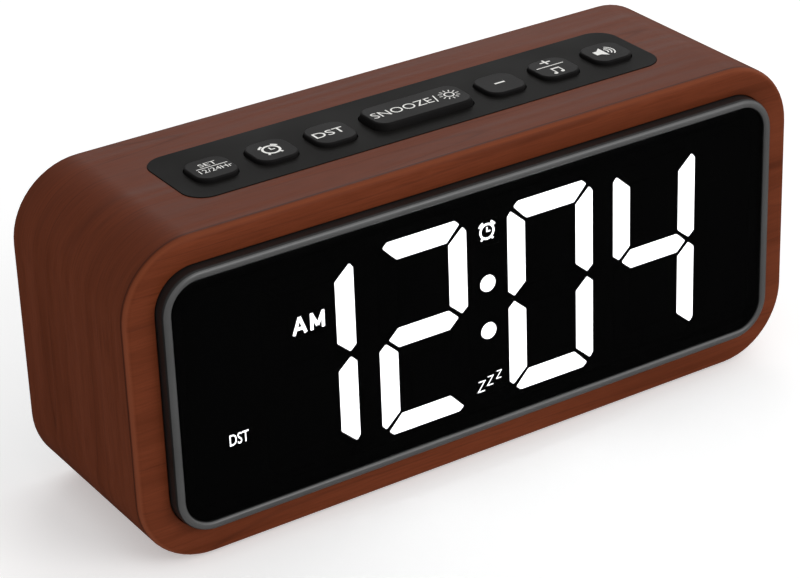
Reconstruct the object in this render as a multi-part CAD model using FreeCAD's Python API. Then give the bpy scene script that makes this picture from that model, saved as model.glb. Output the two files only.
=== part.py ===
import FreeCAD, Part

import math
import os

# A bedside digital alarm clock: a wood-grain case with a raised display bezel in front
# and a strip of seven keys on top.
# Millimetres. X runs across the clock, -Y is the side the display faces, +Z is up.
# The origin is under the middle of the clock, on the surface that it stands on.

V = FreeCAD.Vector

# ---- case ----
case_width = 160.0
case_height = 69.5
case_depth = 47.0
case_corner_radius = 15.5
case_wall = 2.6
front_wall = 3.0
front_edge_radius = 1.5
back_edge_radius = 0.6
boss_gap = 1.0                  # between the display board and the bosses behind it
foot_proud = 0.6
past = 1.0                      # cutting shapes run on this far past what they cut

# ---- display bezel and lens ----
bezel_width = 146.7
bezel_height = 56.5
bezel_corner_radius = 8.5
bezel_rise = 0.55               # the display sits this much above the middle of the case
bezel_proud = 2.9
bead_width = 2.0
bead_inner_radius = 6.0
bead_outer_round = 1.1
bead_inner_round = 0.35
window_corner_radius = 2.4
lens_proud = 2.5                # how far the lens front stands out of the case front
lens_thickness = 1.0
lens_ledge = 2.6                # width of the ledge that the lens is glued to
bezel_flange = 1.7              # how far the flange laps behind the front wall
bezel_flange_thickness = 1.6

# ---- digits ----
digit_width = 21.2
digit_height = 43.1
stroke = 4.2
digit_pitch = 26.6
colon_gap = 31.3                # pitch across the colon
digits_shift = 0.9              # the row of digits is this far right of the middle
digits_drop = 0.7               # and this far below the middle of the bezel
dot_radius = 1.8
dot_spacing = 10.8
segment_corner = 0.3
bar_inset = 2.3                 # ends of the middle bar, from the side of the digit
bar_slope = 2.2                 # length of the bar's pointed ends
mask_thickness = 0.4
mask_gap = 0.1
diffuser_depth = 2.0
diffuser_clearance = 0.12
housing_depth = 8.5
housing_flange_width = 147.0
housing_flange_height = 50.0
indicator_size = {
    "alarm": (0.9, 51.5, 6.0, 6.0),
    "snooze": (0.9, 17.6, 8.0, 5.4),
    "morning": (-41.2, 44.5, 9.6, 5.4),
    "summer": (-58.2, 24.6, 6.4, 4.0),
}                               # middle x, middle z above the case bottom, width, height
indicator_radius = 0.4

# ---- boards inside ----
board_thickness = 1.6
board_corner_radius = 2.0
housing_corner_radius = 3.0
led_size = (2.0, 1.25, 0.8)
spacer_length = 6.4
spacer_radius = 2.5
spacer_span = (96.0, 32.0)
main_board_size = (104.0, 40.0)
board_gap = 1.0                 # between the main board and the screws above it
display_screw_span = (141.4, 28.0)
screw_clearance = 0.06
board_screw_radius = 1.0
board_screw_head = 1.9
board_screw_head_depth = 1.2
board_screw_bite = 3.5          # length of thread in the bezel or the key posts
board_screw_room = 0.6          # empty hole left ahead of a screw
spacer_screw_bite = 1.2         # length of thread past the spacers
slot_width = 0.45               # cross slot in a screw head
slot_reach = 1.3                # its length, in head radii
slot_depth = 0.55               # its depth, in head depths
chip_size = 10.0
chip_height = 1.6
wire_socket_size = (8.0, 4.6, 5.0)
wire_socket_drop = 13.5         # wire sockets lie this far below the board's middle
ribbon_socket_size = (14.0, 4.0, 4.0)
ribbon_socket_rise = 15.0
speaker_socket_x = 22.0
power_socket_x = 6.0
battery_socket_x = -38.0
header_pins = 12
header_pitch = 2.54
header_pin = 0.6
header_base = 2.5

# ---- keypad ----
keypad_width = 114.0
keypad_depth = 22.4
keypad_corner_radius = 5.0
keypad_back = 0.25              # middle of the keypad behind the middle of the case
keypad_proud = 0.15
keypad_flange = 1.8
keypad_flange_thickness = 1.2
key_size = 9.4
key_corner_radius = 2.9
key_height = 0.9
key_pitch = 13.7
first_key_x = 20.65
keys_shift = 0.6                # the row of keys is this far right of the middle
keys_forward = 1.1              # and this far in front of the middle of the keypad
key_travel = 0.5
snooze_width = 24.0
snooze_depth = 10.2
snooze_height = 1.5
snooze_travel = 0.8
snooze_taper = 0.6
key_clearance = 0.2
key_edge_round = 0.35
keypad_edge_round = 0.1
key_flange_gap = 0.1            # between the key flanges and the panel above them
snooze_edge_round = 0.5
key_flange = 0.9
key_flange_thickness = 0.8
key_stem_radius = 1.8
key_stem_length = 1.6
press_gap = 0.12                # left between a stem and its switch at full travel
switch_size = 6.0
switch_height = 3.5
switch_button_radius = 1.6
switch_button_height = 0.5
key_board_size = (114.0, 21.0)
key_post_span = (109.0, 16.4)
key_post_radius = 2.2
join = 0.5                      # pieces that are fused run into each other this far
snooze_switch_span = 13.0

# ---- back ----
cover_thickness = 2.2
cover_inset = 0.6               # how far the cover lies inside the back edge of the case
cover_clearance = 0.15
boss_radius = 3.5
boss_overlap = 0.5
cover_screw_radius = 1.3
cover_screw_length = 9.0
cover_screw_head = 2.2
cover_screw_head_depth = 1.3
battery_radius = 5.25
battery_length = 44.5
battery_gap = 1.0
battery_cap_radius = 1.9
battery_cap_length = 0.8
battery_clearance = 0.4         # all round the cells in their bay
bay_corner_radius = 0.6
spring_room = 4.6
tray_wall = 1.4
tray_x = -34.0
tray_z = 25.0                   # above the case bottom
door_lap = 1.6                  # how far the door laps past the battery bay
door_thickness = 1.4
door_clearance = 0.2
door_pull = 30.0
spring_wire = 0.35
spring_outer = 3.2
spring_turns = 3
door_corner_radius = 2.0
groove_radius = 0.5
groove_length = 14.0
groove_pitch = 2.0
contact_thickness = 0.5
contact_size = (8.0, 8.5)
contact_gap = 0.05              # between a contact and the wall or spring beside it
speaker_x = 42.0
speaker_z = 33.0
speaker_radius = 18.0
speaker_rim_depth = 1.6
speaker_rim_wall = 1.5          # ring on the cover that holds the speaker
speaker_rim_gap = 0.1
speaker_rim_lip = 2.5
speaker_rim_floor = 0.4
speaker_basket_wall = 0.8
speaker_basket_radius = 13.0
speaker_basket_depth = 5.6
magnet_radius = 8.0
magnet_depth = 3.2
cone_wall = 0.5
cone_depth = 3.6
cone_gap = 0.4                  # between the cone's rim and the basket
cone_throat = 4.0
cone_rise = 0.05                # the cone's rim lies this far above the rim's floor
dust_cap_radius = 6.0
dust_cap_drop = 3.0
grille_hole_radius = 0.8
grille_pitch = 3.0
grille_radius = 14.0
socket_x = 8.0
socket_z = 12.0
socket_size = (8.94, 7.3, 3.26)
socket_wall = 0.3
socket_radius = 1.5
socket_inset = 0.2              # mouth of the socket behind the cover's face
socket_clearance = 0.15
tongue_size = (6.7, 4.4, 0.7)
power_board_size = (16.0, 12.0, 1.2)
rail_width = 1.6
rail_height = 4.0
rail_gap = 0.3
board_slack = 0.1
vent_count = 9
vent_size = (1.6, 11.0)
vent_pitch = 3.4
vent_x = -34.0
vent_z = 52.0

# ---- feet and wires ----
foot_radius = 4.5
foot_depth = 1.4                # whole thickness of a foot, part of it let into the case
foot_span = (112.0, 28.0)
foot_edge_round = 0.3
wire_radius = 0.6
wire_pitch = 1.5
ribbon_width = 12.0
ribbon_thickness = 0.5
ribbon_bend = 3.0

# ---- places worked out from the sizes above ----
front_y = bezel_proud / 2 - case_depth / 2
back_y = front_y + case_depth
bottom_z = foot_proud
top_z = bottom_z + case_height
middle_z = bottom_z + case_height / 2
display_z = middle_z + bezel_rise
digits_z = display_z - digits_drop
inner_width = case_width - 2 * case_wall
inner_height = case_height - 2 * case_wall
inner_radius = case_corner_radius - case_wall
flange_back_y = front_y + front_wall + bezel_flange_thickness
opening_width = bezel_width - 2 * bead_width
opening_height = bezel_height - 2 * bead_width
window_width = opening_width - 2 * lens_ledge
window_height = opening_height - 2 * lens_ledge
mask_y = front_y - lens_proud + lens_thickness + mask_gap
housing_y = mask_y + mask_thickness
housing_back_y = housing_y + housing_depth
housing_flange_depth = housing_back_y - flange_back_y
display_board_y = housing_back_y
display_board_back_y = display_board_y + board_thickness
main_board_y = display_board_back_y + spacer_length
main_board_back_y = main_board_y + board_thickness
cover_back_y = back_y - cover_inset
cover_front_y = cover_back_y - cover_thickness
bay_width = (battery_length + battery_cap_length + spring_room + 2 * contact_thickness
             + 2 * battery_clearance)
bay_height = 4 * battery_radius + battery_gap + 2 * battery_clearance
bay_depth = 2 * (battery_radius + battery_clearance)
bay_z = bottom_z + tray_z
bay_front_y = cover_back_y - door_thickness - bay_depth
battery_y = bay_front_y + battery_radius + battery_clearance
keypad_y = front_y + case_depth / 2 + keypad_back
keys_y = keypad_y - keys_forward
keypad_top_z = top_z + keypad_proud
keypad_under_z = top_z - case_wall - keypad_flange_thickness
key_flange_z = keypad_under_z - key_flange_gap
stem_end_z = key_flange_z - key_flange_thickness - key_stem_length
switch_top_z = stem_end_z - snooze_travel - press_gap
key_board_top_z = switch_top_z - switch_button_height - switch_height
key_board_z = key_board_top_z - board_thickness
main_board_z = (key_board_z - board_screw_head_depth - board_gap
                - main_board_size[1] / 2)
wire_socket_z = main_board_z - wire_socket_drop
wire_start_y = main_board_back_y + wire_socket_size[1]


# ---- outlines ----
def rounded_wire(points, radii):
    """Closed wire in the XZ plane with the corner at each point rounded by its radius."""
    corners = []
    count = len(points)
    for i in range(count):
        here = V(points[i][0], 0, points[i][1])
        before = V(points[i - 1][0], 0, points[i - 1][1]) - here
        after = V(points[(i + 1) % count][0], 0, points[(i + 1) % count][1]) - here
        radius = radii[i]
        if radius <= 0:
            corners.append((here, None, here))
            continue
        before.normalize()
        after.normalize()
        half = before.getAngle(after) / 2
        cut = radius / math.tan(half)
        bisector = (before + after).normalize()
        middle = here + bisector * (radius / math.sin(half) - radius)
        corners.append((here + before * cut, middle, here + after * cut))
    edges = []
    for i, (start, middle, end) in enumerate(corners):
        if middle is not None:
            edges.append(Part.Arc(start, middle, end).toShape())
        following = corners[(i + 1) % count][0]
        if (following - end).Length > 1e-6:
            edges.append(Part.LineSegment(end, following).toShape())
    return Part.Wire(edges)


def slab(width, height, radius, y_front, y_back, x=0.0, z=0.0):
    """Rounded rectangle seen from the front, between two depths."""
    half_w, half_h = width / 2, height / 2
    points = [(x - half_w, z - half_h), (x + half_w, z - half_h),
              (x + half_w, z + half_h), (x - half_w, z + half_h)]
    face = Part.Face(rounded_wire(points, [radius] * 4))
    face.translate(V(0, y_front, 0))
    return face.extrude(V(0, y_back - y_front, 0))


def plate(width, depth, radius, z_low, z_high, x=0.0, y=0.0):
    """Rounded rectangle seen from above, between two heights."""
    shape = slab(width, depth, radius, 0, z_high - z_low)
    shape.rotate(V(0, 0, 0), V(1, 0, 0), 90)
    shape.translate(V(x, y, z_low))
    return shape


def box(x_size, y_size, z_size, x, y, z):
    """Box with its middle at x, y and its lowest face at z."""
    return Part.makeBox(x_size, y_size, z_size, V(x - x_size / 2, y - y_size / 2, z))


def rod_y(radius, y_front, y_back, x, z):
    return Part.makeCylinder(radius, y_back - y_front, V(x, y_front, z), V(0, 1, 0))


def rod_z(radius, z_low, z_high, x, y):
    return Part.makeCylinder(radius, z_high - z_low, V(x, y, z_low), V(0, 0, 1))


def fuse(shapes):
    """One solid out of shapes that touch."""
    return shapes[0].multiFuse(shapes[1:]).removeSplitter()


def group(shapes):
    """Separate solids kept in one node."""
    return Part.makeCompound([solid for shape in shapes for solid in shape.Solids])


def four(span):
    """The four corners of a rectangle."""
    return [(i * span[0] / 2, j * span[1] / 2) for i in (-1, 1) for j in (-1, 1)]


def edges_at(shape, axis, value, reach=1000.0):
    """Edges that lie wholly at one y or z and no further than reach from the middle."""
    found = []
    for edge in shape.Edges:
        bounds = edge.BoundBox
        span = {"y": (bounds.YMin, bounds.YMax), "z": (bounds.ZMin, bounds.ZMax)}[axis]
        flat = max(abs(span[0] - value), abs(span[1] - value)) < 1e-4
        if flat and max(-bounds.XMin, bounds.XMax) < reach:
            found.append(edge)
    return found


def save(name, shape):
    assert shape.isValid(), name
    shape.exportStep("parts/" + name + ".step")
    print(name, len(shape.Solids), round(shape.Volume, 1))


# ---- case ----
def boss_places():
    """Screw bosses, one in each corner, grown out of the rounded wall."""
    reach = (inner_radius - boss_radius + boss_overlap) / math.sqrt(2)
    x = inner_width / 2 - inner_radius + reach
    z = inner_height / 2 - inner_radius + reach
    return [(i * x, middle_z + j * z) for i in (-1, 1) for j in (-1, 1)]


def foot_places():
    middle_y = (front_y + back_y) / 2
    return [(x, middle_y + y) for x, y in four(foot_span)]


def make_case_shell():
    shell = slab(case_width, case_height, case_corner_radius, front_y, back_y, z=middle_z)
    shell = shell.makeFillet(front_edge_radius, edges_at(shell, "y", front_y))
    shell = shell.makeFillet(back_edge_radius, edges_at(shell, "y", back_y))
    hollow = slab(inner_width, inner_height, inner_radius, front_y + front_wall, back_y + past,
                  z=middle_z)
    clear = cover_clearance
    window = slab(bezel_width + 2 * clear, bezel_height + 2 * clear, bezel_corner_radius + clear,
                  front_y - past, front_y + front_wall + past, z=display_z)
    keypad_hole = plate(keypad_width + 2 * clear, keypad_depth + 2 * clear,
                        keypad_corner_radius + clear, top_z - case_wall - past, top_z + past,
                        y=keypad_y)
    shell = shell.cut(hollow).cut(window).cut(keypad_hole)
    boss_start = display_board_back_y + boss_gap
    hull = slab(inner_width + case_wall, inner_height + case_wall,
                inner_radius + case_wall / 2, front_y, cover_front_y, z=middle_z)
    bosses = [rod_y(boss_radius, boss_start, cover_front_y, x, z).common(hull)
              for x, z in boss_places()]
    shell = fuse([shell] + bosses)
    pilots = [rod_y(cover_screw_radius + screw_clearance,
                    cover_front_y - cover_screw_length, cover_front_y + past, x, z)
              for x, z in boss_places()]
    sockets = [rod_z(foot_radius, bottom_z - past, bottom_z + foot_depth - foot_proud, x, y)
               for x, y in foot_places()]
    return shell.cut(Part.makeCompound(pilots + sockets))


def make_feet():
    feet = []
    for x, y in foot_places():
        foot = rod_z(foot_radius, 0, foot_depth, x, y)
        feet.append(foot.makeFillet(foot_edge_round, edges_at(foot, "z", 0)))
    return group(feet)


# ---- bezel, lens, digits ----
def make_bezel():
    bead_y = front_y - bezel_proud
    seat_y = front_y - lens_proud + lens_thickness
    body = slab(bezel_width, bezel_height, bezel_corner_radius, bead_y, flange_back_y,
                z=display_z)
    body = body.makeFillet(bead_outer_round, edges_at(body, "y", bead_y))
    seat = slab(opening_width, opening_height, bead_inner_radius, bead_y - past, seat_y,
                z=display_z)
    body = body.cut(seat)
    body = body.makeFillet(bead_inner_round,
                           edges_at(body, "y", bead_y, reach=opening_width / 2 + 0.1))
    flange = slab(bezel_width + 2 * bezel_flange, bezel_height + 2 * bezel_flange,
                  bezel_corner_radius + bezel_flange, front_y + front_wall, flange_back_y,
                  z=display_z)
    body = body.fuse(flange)
    window = slab(window_width, window_height, window_corner_radius, bead_y - past,
                  flange_back_y + past, z=display_z)
    pilots = [rod_y(board_screw_radius + screw_clearance,
                    flange_back_y - board_screw_bite - board_screw_room, flange_back_y + past,
                    x, display_z + z) for x, z in four(display_screw_span)]
    return body.cut(window).cut(Part.makeCompound(pilots)).removeSplitter()


def make_lens():
    gap = diffuser_clearance
    lens_y = front_y - lens_proud
    return slab(opening_width - 2 * gap, opening_height - 2 * gap, bead_inner_radius - gap,
                lens_y, lens_y + lens_thickness, z=display_z)


def segment_points():
    """Outline of each of the seven segments in a digit, from its lower left corner."""
    w, h, s = digit_width, digit_height, stroke
    middle = h / 2
    top = [(1.6, h - 0.9), (4.7, h - s), (w - 4.7, h - s), (w - 1.6, h - 0.9), (w - 2.6, h),
           (2.6, h)]
    upper = [(w - 0.8, h - 1.8), (w, h - 2.8), (w, middle + 1.9), (w - 1.4, middle + 0.65),
             (w - s, middle + 3.15), (w - s, h - 4.9)]
    tip, flat = bar_inset, bar_inset + bar_slope
    bar = [(tip, middle), (flat, middle - s / 2), (w - flat, middle - s / 2), (w - tip, middle),
           (w - flat, middle + s / 2), (flat, middle + s / 2)]

    def left(points):
        return [(w - x, z) for x, z in reversed(points)]

    def low(points):
        return [(x, h - z) for x, z in reversed(points)]

    return {"a": top, "b": upper, "c": low(upper), "d": low(top), "e": left(low(upper)),
            "f": left(upper), "g": bar}


def segment(letter, corner, grow, y_front, y_back):
    """One segment of the digit whose lower left corner is given."""
    points = [(corner[0] + x, corner[1] + z) for x, z in segment_points()[letter]]
    wire = rounded_wire(points, [segment_corner] * len(points))
    if grow:
        wire = wire.makeOffset2D(grow)
    face = Part.Face(wire)
    face.translate(V(0, y_front, 0))
    return face.extrude(V(0, y_back - y_front, 0))


def digit_corners():
    """Lower left corner of each digit, left to right."""
    left_x = digits_shift - colon_gap / 2 - digit_pitch - digit_width / 2
    starts = [left_x, left_x + digit_pitch]
    starts += [starts[1] + colon_gap, starts[1] + colon_gap + digit_pitch]
    return [(x, digits_z - digit_height / 2) for x in starts]


digit_names = ["hour_tens", "hour_units", "minute_tens", "minute_units"]
lit = {"hour_tens": "bc", "hour_units": "abged", "minute_tens": "abcdef",
       "minute_units": "fgbc"}


def dot_places():
    return [(digits_shift, digits_z + j * dot_spacing / 2) for j in (-1, 1)]


def all_apertures(grow, y_front, y_back):
    """Everything that shines through the mask: segments, colon dots and indicators."""
    holes = [segment(letter, corner, grow, y_front, y_back)
             for corner in digit_corners() for letter in "abcdefg"]
    holes += [rod_y(dot_radius + grow, y_front, y_back, x, z) for x, z in dot_places()]
    holes += [slab(w + 2 * grow, h + 2 * grow, indicator_radius + grow, y_front, y_back, x,
                   bottom_z + z)
              for x, z, w, h in indicator_size.values()]
    return Part.makeCompound(holes)


def make_mask():
    gap = diffuser_clearance
    sheet = slab(window_width - 2 * gap, window_height - 2 * gap, window_corner_radius - gap,
                 mask_y, mask_y + mask_thickness, z=display_z)
    return sheet.cut(all_apertures(gap, mask_y - past, mask_y + mask_thickness + past))


def make_housing():
    """Block with a well behind each segment, closed at the back by the display board."""
    gap = diffuser_clearance
    block = slab(window_width - 2 * gap, window_height - 2 * gap, window_corner_radius - gap,
                 housing_y, housing_back_y, z=display_z)
    flange_y = housing_back_y - housing_flange_depth
    flange = slab(housing_flange_width, housing_flange_height, housing_corner_radius,
                  flange_y, housing_back_y, z=display_z)
    holes = [rod_y(board_screw_radius + screw_clearance, flange_y - past, housing_back_y + past,
                   x, display_z + z) for x, z in four(display_screw_span)]
    block = fuse([block, flange]).cut(Part.makeCompound(holes))
    return block.cut(all_apertures(gap, housing_y - past, housing_back_y + past))


def lit_segments(name):
    corner = digit_corners()[digit_names.index(name)]
    return group([segment(letter, corner, 0, mask_y, mask_y + diffuser_depth)
                  for letter in lit[name]])


def make_unlit_segments():
    return group([segment(letter, corner, 0, mask_y, mask_y + diffuser_depth)
                  for name, corner in zip(digit_names, digit_corners())
                  for letter in "abcdefg" if letter not in lit[name]])


def make_colon():
    return group([rod_y(dot_radius, mask_y, mask_y + diffuser_depth, x, z)
                  for x, z in dot_places()])


def make_indicators():
    return group([slab(w, h, indicator_radius, mask_y, mask_y + diffuser_depth, x, bottom_z + z)
                  for x, z, w, h in indicator_size.values()])


def make_leds():
    """One chip behind the middle of each segment, dot and indicator."""
    places = []
    for corner in digit_corners():
        for points in segment_points().values():
            places.append((corner[0] + sum(p[0] for p in points) / len(points),
                           corner[1] + sum(p[1] for p in points) / len(points)))
    places += dot_places()
    places += [(x, bottom_z + z) for x, z, w, h in indicator_size.values()]
    return group([box(led_size[0], led_size[2], led_size[1], x,
                      display_board_y - led_size[2] / 2, z - led_size[1] / 2)
                  for x, z in places])


# ---- boards ----
def spacer_places():
    return [(x, main_board_z + z) for x, z in four(spacer_span)]


def make_display_board():
    board = slab(housing_flange_width, housing_flange_height, housing_corner_radius,
                 display_board_y, display_board_back_y, z=display_z)
    places = [(x, display_z + z) for x, z in four(display_screw_span)] + spacer_places()
    holes = [rod_y(board_screw_radius + screw_clearance, display_board_y - past,
                   display_board_back_y + past, x, z) for x, z in places]
    return board.cut(Part.makeCompound(holes))


def make_main_board():
    board = slab(main_board_size[0], main_board_size[1], board_corner_radius, main_board_y,
                 main_board_back_y, z=main_board_z)
    holes = [rod_y(board_screw_radius + screw_clearance, main_board_y - past,
                   main_board_back_y + past, x, z) for x, z in spacer_places()]
    return board.cut(Part.makeCompound(holes))


def make_spacers():
    spacers = []
    for x, z in spacer_places():
        tube = rod_y(spacer_radius, display_board_back_y, main_board_y, x, z)
        bore = rod_y(board_screw_radius + screw_clearance, display_board_back_y - past,
                     main_board_y + past, x, z)
        spacers.append(tube.cut(bore))
    return group(spacers)


def screw_y(radius, head_radius, head_depth, head_y, length, x, z):
    """Screw driven towards -Y, its head resting on head_y, with a cross slot."""
    shank = rod_y(radius, head_y - length, head_y, x, z)
    head = rod_y(head_radius, head_y, head_y + head_depth, x, z)
    screw = fuse([shank, head])
    reach = head_radius * slot_reach
    depth = head_depth * slot_depth
    cross = [box(w, depth, h, x, head_y + head_depth - depth / 2, z - h / 2)
             for w, h in [(reach, slot_width), (slot_width, reach)]]
    return screw.cut(Part.makeCompound(cross))


def make_board_screws():
    display = [screw_y(board_screw_radius, board_screw_head, board_screw_head_depth,
                       display_board_back_y,
                       board_thickness + housing_flange_depth + board_screw_bite,
                       x, display_z + z) for x, z in four(display_screw_span)]
    main = [screw_y(board_screw_radius, board_screw_head, board_screw_head_depth,
                    main_board_back_y, board_thickness + spacer_length + spacer_screw_bite, x, z)
            for x, z in spacer_places()]
    return group(display + main)


def make_pin_header():
    """Two rows of pins in a plastic bar between the display board and the main board."""
    bar = box(header_pins * header_pitch, header_base, 2 * header_pitch, 0,
              display_board_back_y + header_base / 2, main_board_z - header_pitch)
    pins = [box(header_pin, spacer_length, header_pin, (i - (header_pins - 1) / 2) * header_pitch,
                display_board_back_y + spacer_length / 2,
                main_board_z + j * header_pitch / 2 - header_pin / 2)
            for i in range(header_pins) for j in (-1, 1)]
    return fuse([bar] + pins)


def make_controller_chip():
    return box(chip_size, chip_height, chip_size, -20.0, main_board_back_y + chip_height / 2,
               main_board_z - chip_size / 2)


def on_board(size, x, z):
    """Box-shaped part standing on the back of the main board, z from the board's middle."""
    w, d, h = size
    return box(w, d, h, x, main_board_back_y + d / 2, main_board_z + z - h / 2)


def make_board_parts():
    """Capacitors, crystal, driver chips, coil and wire sockets on the main board."""
    y = main_board_back_y
    # radius, length, x and z of the round parts: capacitors, then the power coil
    parts = [rod_y(radius, y, y + length, x, main_board_z + z)
             for radius, length, x, z in [(3.15, 7.0, 38, 10), (3.15, 7.0, 29, 10),
                                          (2.0, 5.0, 8, 3), (2.0, 5.0, 14, 3),
                                          (4.0, 4.0, 40, -10)]]
    parts.append(on_board((8.0, 3.2, 3.4), -20, 12))            # crystal
    parts += [on_board((5.0, 1.5, 6.2), x, -3) for x in (-4, 22)]      # driver chips
    parts += [on_board(wire_socket_size, x, -wire_socket_drop)
              for x in (speaker_socket_x, power_socket_x, battery_socket_x)]
    parts.append(on_board(ribbon_socket_size, 0, ribbon_socket_rise))
    parts += [on_board((2.0, 0.8, 1.2), -36 + 3.5 * i, -8) for i in range(9)]    # resistors
    return group(parts)


# ---- keypad ----
key_places = {
    "set_key": keys_shift - first_key_x - 2 * key_pitch,
    "alarm_key": keys_shift - first_key_x - key_pitch,
    "dst_key": keys_shift - first_key_x,
    "minus_key": keys_shift + first_key_x,
    "plus_key": keys_shift + first_key_x + key_pitch,
    "volume_key": keys_shift + first_key_x + 2 * key_pitch,
}


def key_hole(width, depth, radius, x):
    gap = key_clearance
    return plate(width + 2 * gap, depth + 2 * gap, radius + gap, keypad_under_z - past,
                 keypad_top_z + past, x, keys_y)


def make_keypad_panel():
    panel = plate(keypad_width, keypad_depth, keypad_corner_radius, keypad_under_z,
                  keypad_top_z, y=keypad_y)
    panel = panel.makeFillet(keypad_edge_round, edges_at(panel, "z", keypad_top_z))
    flange = plate(keypad_width + 2 * keypad_flange, keypad_depth + 2 * keypad_flange,
                   keypad_corner_radius + keypad_flange, keypad_under_z, top_z - case_wall,
                   y=keypad_y)
    posts = [rod_z(key_post_radius, key_board_top_z, keypad_under_z + join, x, keypad_y + y)
             for x, y in four(key_post_span)]
    panel = fuse([panel, flange] + posts)
    holes = [key_hole(key_size, key_size, key_corner_radius, x) for x in key_places.values()]
    holes.append(key_hole(snooze_width, snooze_depth, key_corner_radius, keys_shift))
    pilots = [rod_z(board_screw_radius + screw_clearance, key_board_top_z - past,
                    key_board_top_z + board_screw_bite + board_screw_room, x,
                    keypad_y + y)
              for x, y in four(key_post_span)]
    return panel.cut(Part.makeCompound(holes + pilots))


def key_stem(travel, x):
    """Stem that stops just short of its switch when the key is fully down."""
    return rod_z(key_stem_radius, switch_top_z + press_gap + travel, key_flange_z, x, keys_y)


def make_key(x):
    top = keypad_top_z + key_height
    cap = plate(key_size, key_size, key_corner_radius, key_flange_z, top, x, keys_y)
    cap = cap.makeFillet(key_edge_round, edges_at(cap, "z", top))
    size = key_size + 2 * key_flange
    flange = plate(size, size, key_corner_radius + key_flange,
                   key_flange_z - key_flange_thickness, key_flange_z, x, keys_y)
    return fuse([cap, flange, key_stem(key_travel, x)])


def upper_outline(width, depth, radius, z):
    """Rounded rectangle at one height, as a wire."""
    block = plate(width, depth, radius, z - past, z, keys_shift, keys_y)
    return max(block.Faces, key=lambda face: face.CenterOfMass.z).OuterWire


def snooze_stems():
    return [keys_shift + i * snooze_switch_span / 2 for i in (-1, 1)]


def make_snooze_key():
    """Wide key with drafted walls and a rounded top edge, pressing two switches."""
    top = keypad_top_z + snooze_height
    cap = plate(snooze_width, snooze_depth, key_corner_radius, key_flange_z,
                keypad_top_z + snooze_taper, keys_shift, keys_y)
    foot = upper_outline(snooze_width, snooze_depth, key_corner_radius,
                         keypad_top_z + snooze_taper)
    head = upper_outline(snooze_width - snooze_taper, snooze_depth - snooze_taper,
                         key_corner_radius - snooze_taper / 2, top)
    crown = Part.makeLoft([foot, head], True)
    crown = crown.makeFillet(snooze_edge_round, edges_at(crown, "z", top))
    flange = plate(snooze_width + 2 * key_flange, snooze_depth + 2 * key_flange,
                   key_corner_radius + key_flange, key_flange_z - key_flange_thickness,
                   key_flange_z, keys_shift, keys_y)
    stems = [key_stem(snooze_travel, x) for x in snooze_stems()]
    return fuse([cap, crown, flange] + stems)


def switch_places():
    return sorted(list(key_places.values()) + snooze_stems())


def make_switches():
    switches = []
    for x in switch_places():
        body = box(switch_size, switch_size, switch_height, x, keys_y, key_board_top_z)
        button_top = key_board_top_z + switch_height + switch_button_height
        button = rod_z(switch_button_radius, key_board_top_z + switch_height - join,
                       button_top, x, keys_y)
        switches.append(fuse([body, button]))
    return group(switches)


def make_key_board():
    board = plate(key_board_size[0], key_board_size[1], board_corner_radius, key_board_z,
                  key_board_top_z, y=keypad_y)
    holes = [rod_z(board_screw_radius + screw_clearance, key_board_z - past,
                   key_board_top_z + past, x, keypad_y + y) for x, y in four(key_post_span)]
    return board.cut(Part.makeCompound(holes))


def make_key_board_screws():
    screws = []
    for x, y in four(key_post_span):
        shank = rod_z(board_screw_radius, key_board_z, key_board_top_z + board_screw_bite,
                      x, keypad_y + y)
        head = rod_z(board_screw_head, key_board_z - board_screw_head_depth, key_board_z,
                     x, keypad_y + y)
        screws.append(fuse([shank, head]))
    return group(screws)


# ---- wires ----
def bent_path(points, radii):
    """Edges of a path with an arc at each inner point."""
    edges = []
    last = points[0]
    for i in range(1, len(points) - 1):
        here = points[i]
        before = (points[i - 1] - here).normalize()
        after = (points[i + 1] - here).normalize()
        half = before.getAngle(after) / 2
        radius = radii[i - 1]
        cut = radius / math.tan(half)
        middle = here + (before + after).normalize() * (radius / math.sin(half) - radius)
        start, end = here + before * cut, here + after * cut
        if (start - last).Length > 1e-6:
            edges.append(Part.LineSegment(last, start).toShape())
        edges.append(Part.Arc(start, middle, end).toShape())
        last = end
    edges.append(Part.LineSegment(last, points[-1]).toShape())
    return edges


def wire_pair(points, sideways):
    """Two insulated wires side by side along one path, with the largest even bends."""
    wires = []
    for side in (-0.5, 0.5):
        path = [V(*p) + sideways * (side * wire_pitch) for p in points]
        radii = []
        for i in range(1, len(path) - 1):
            before, after = path[i - 1] - path[i], path[i + 1] - path[i]
            half = before.getAngle(after) / 2
            radii.append(0.45 * min(before.Length, after.Length) * math.tan(half))
        edges = bent_path(path, radii)
        start = (path[1] - path[0]).normalize()
        ring = Part.Wire(Part.makeCircle(wire_radius, path[0], start))
        wires.append(Part.Wire(edges).makePipeShell([ring], True, False))
    return group(wires)


def make_key_ribbon():
    """Flat cable out of its socket on the main board and up to the key board."""
    start_y = main_board_back_y + ribbon_socket_size[1]
    turn_y = start_y + 2 * ribbon_bend
    z = main_board_z + ribbon_socket_rise
    path = Part.Wire(bent_path([V(0, start_y, z), V(0, turn_y, z), V(0, turn_y, key_board_z)],
                               [ribbon_bend]))
    half_w, half_t = ribbon_width / 2, ribbon_thickness / 2
    corners = [V(-half_w, start_y, z - half_t), V(half_w, start_y, z - half_t),
               V(half_w, start_y, z + half_t), V(-half_w, start_y, z + half_t)]
    return path.makePipeShell([Part.makePolygon(corners + corners[:1])], True, False)


# ---- back ----
def battery_rows():
    """Height of each cell, and which way round it lies."""
    step = battery_radius + battery_gap / 2
    return [(bay_z - step, 1), (bay_z + step, -1)]


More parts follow.
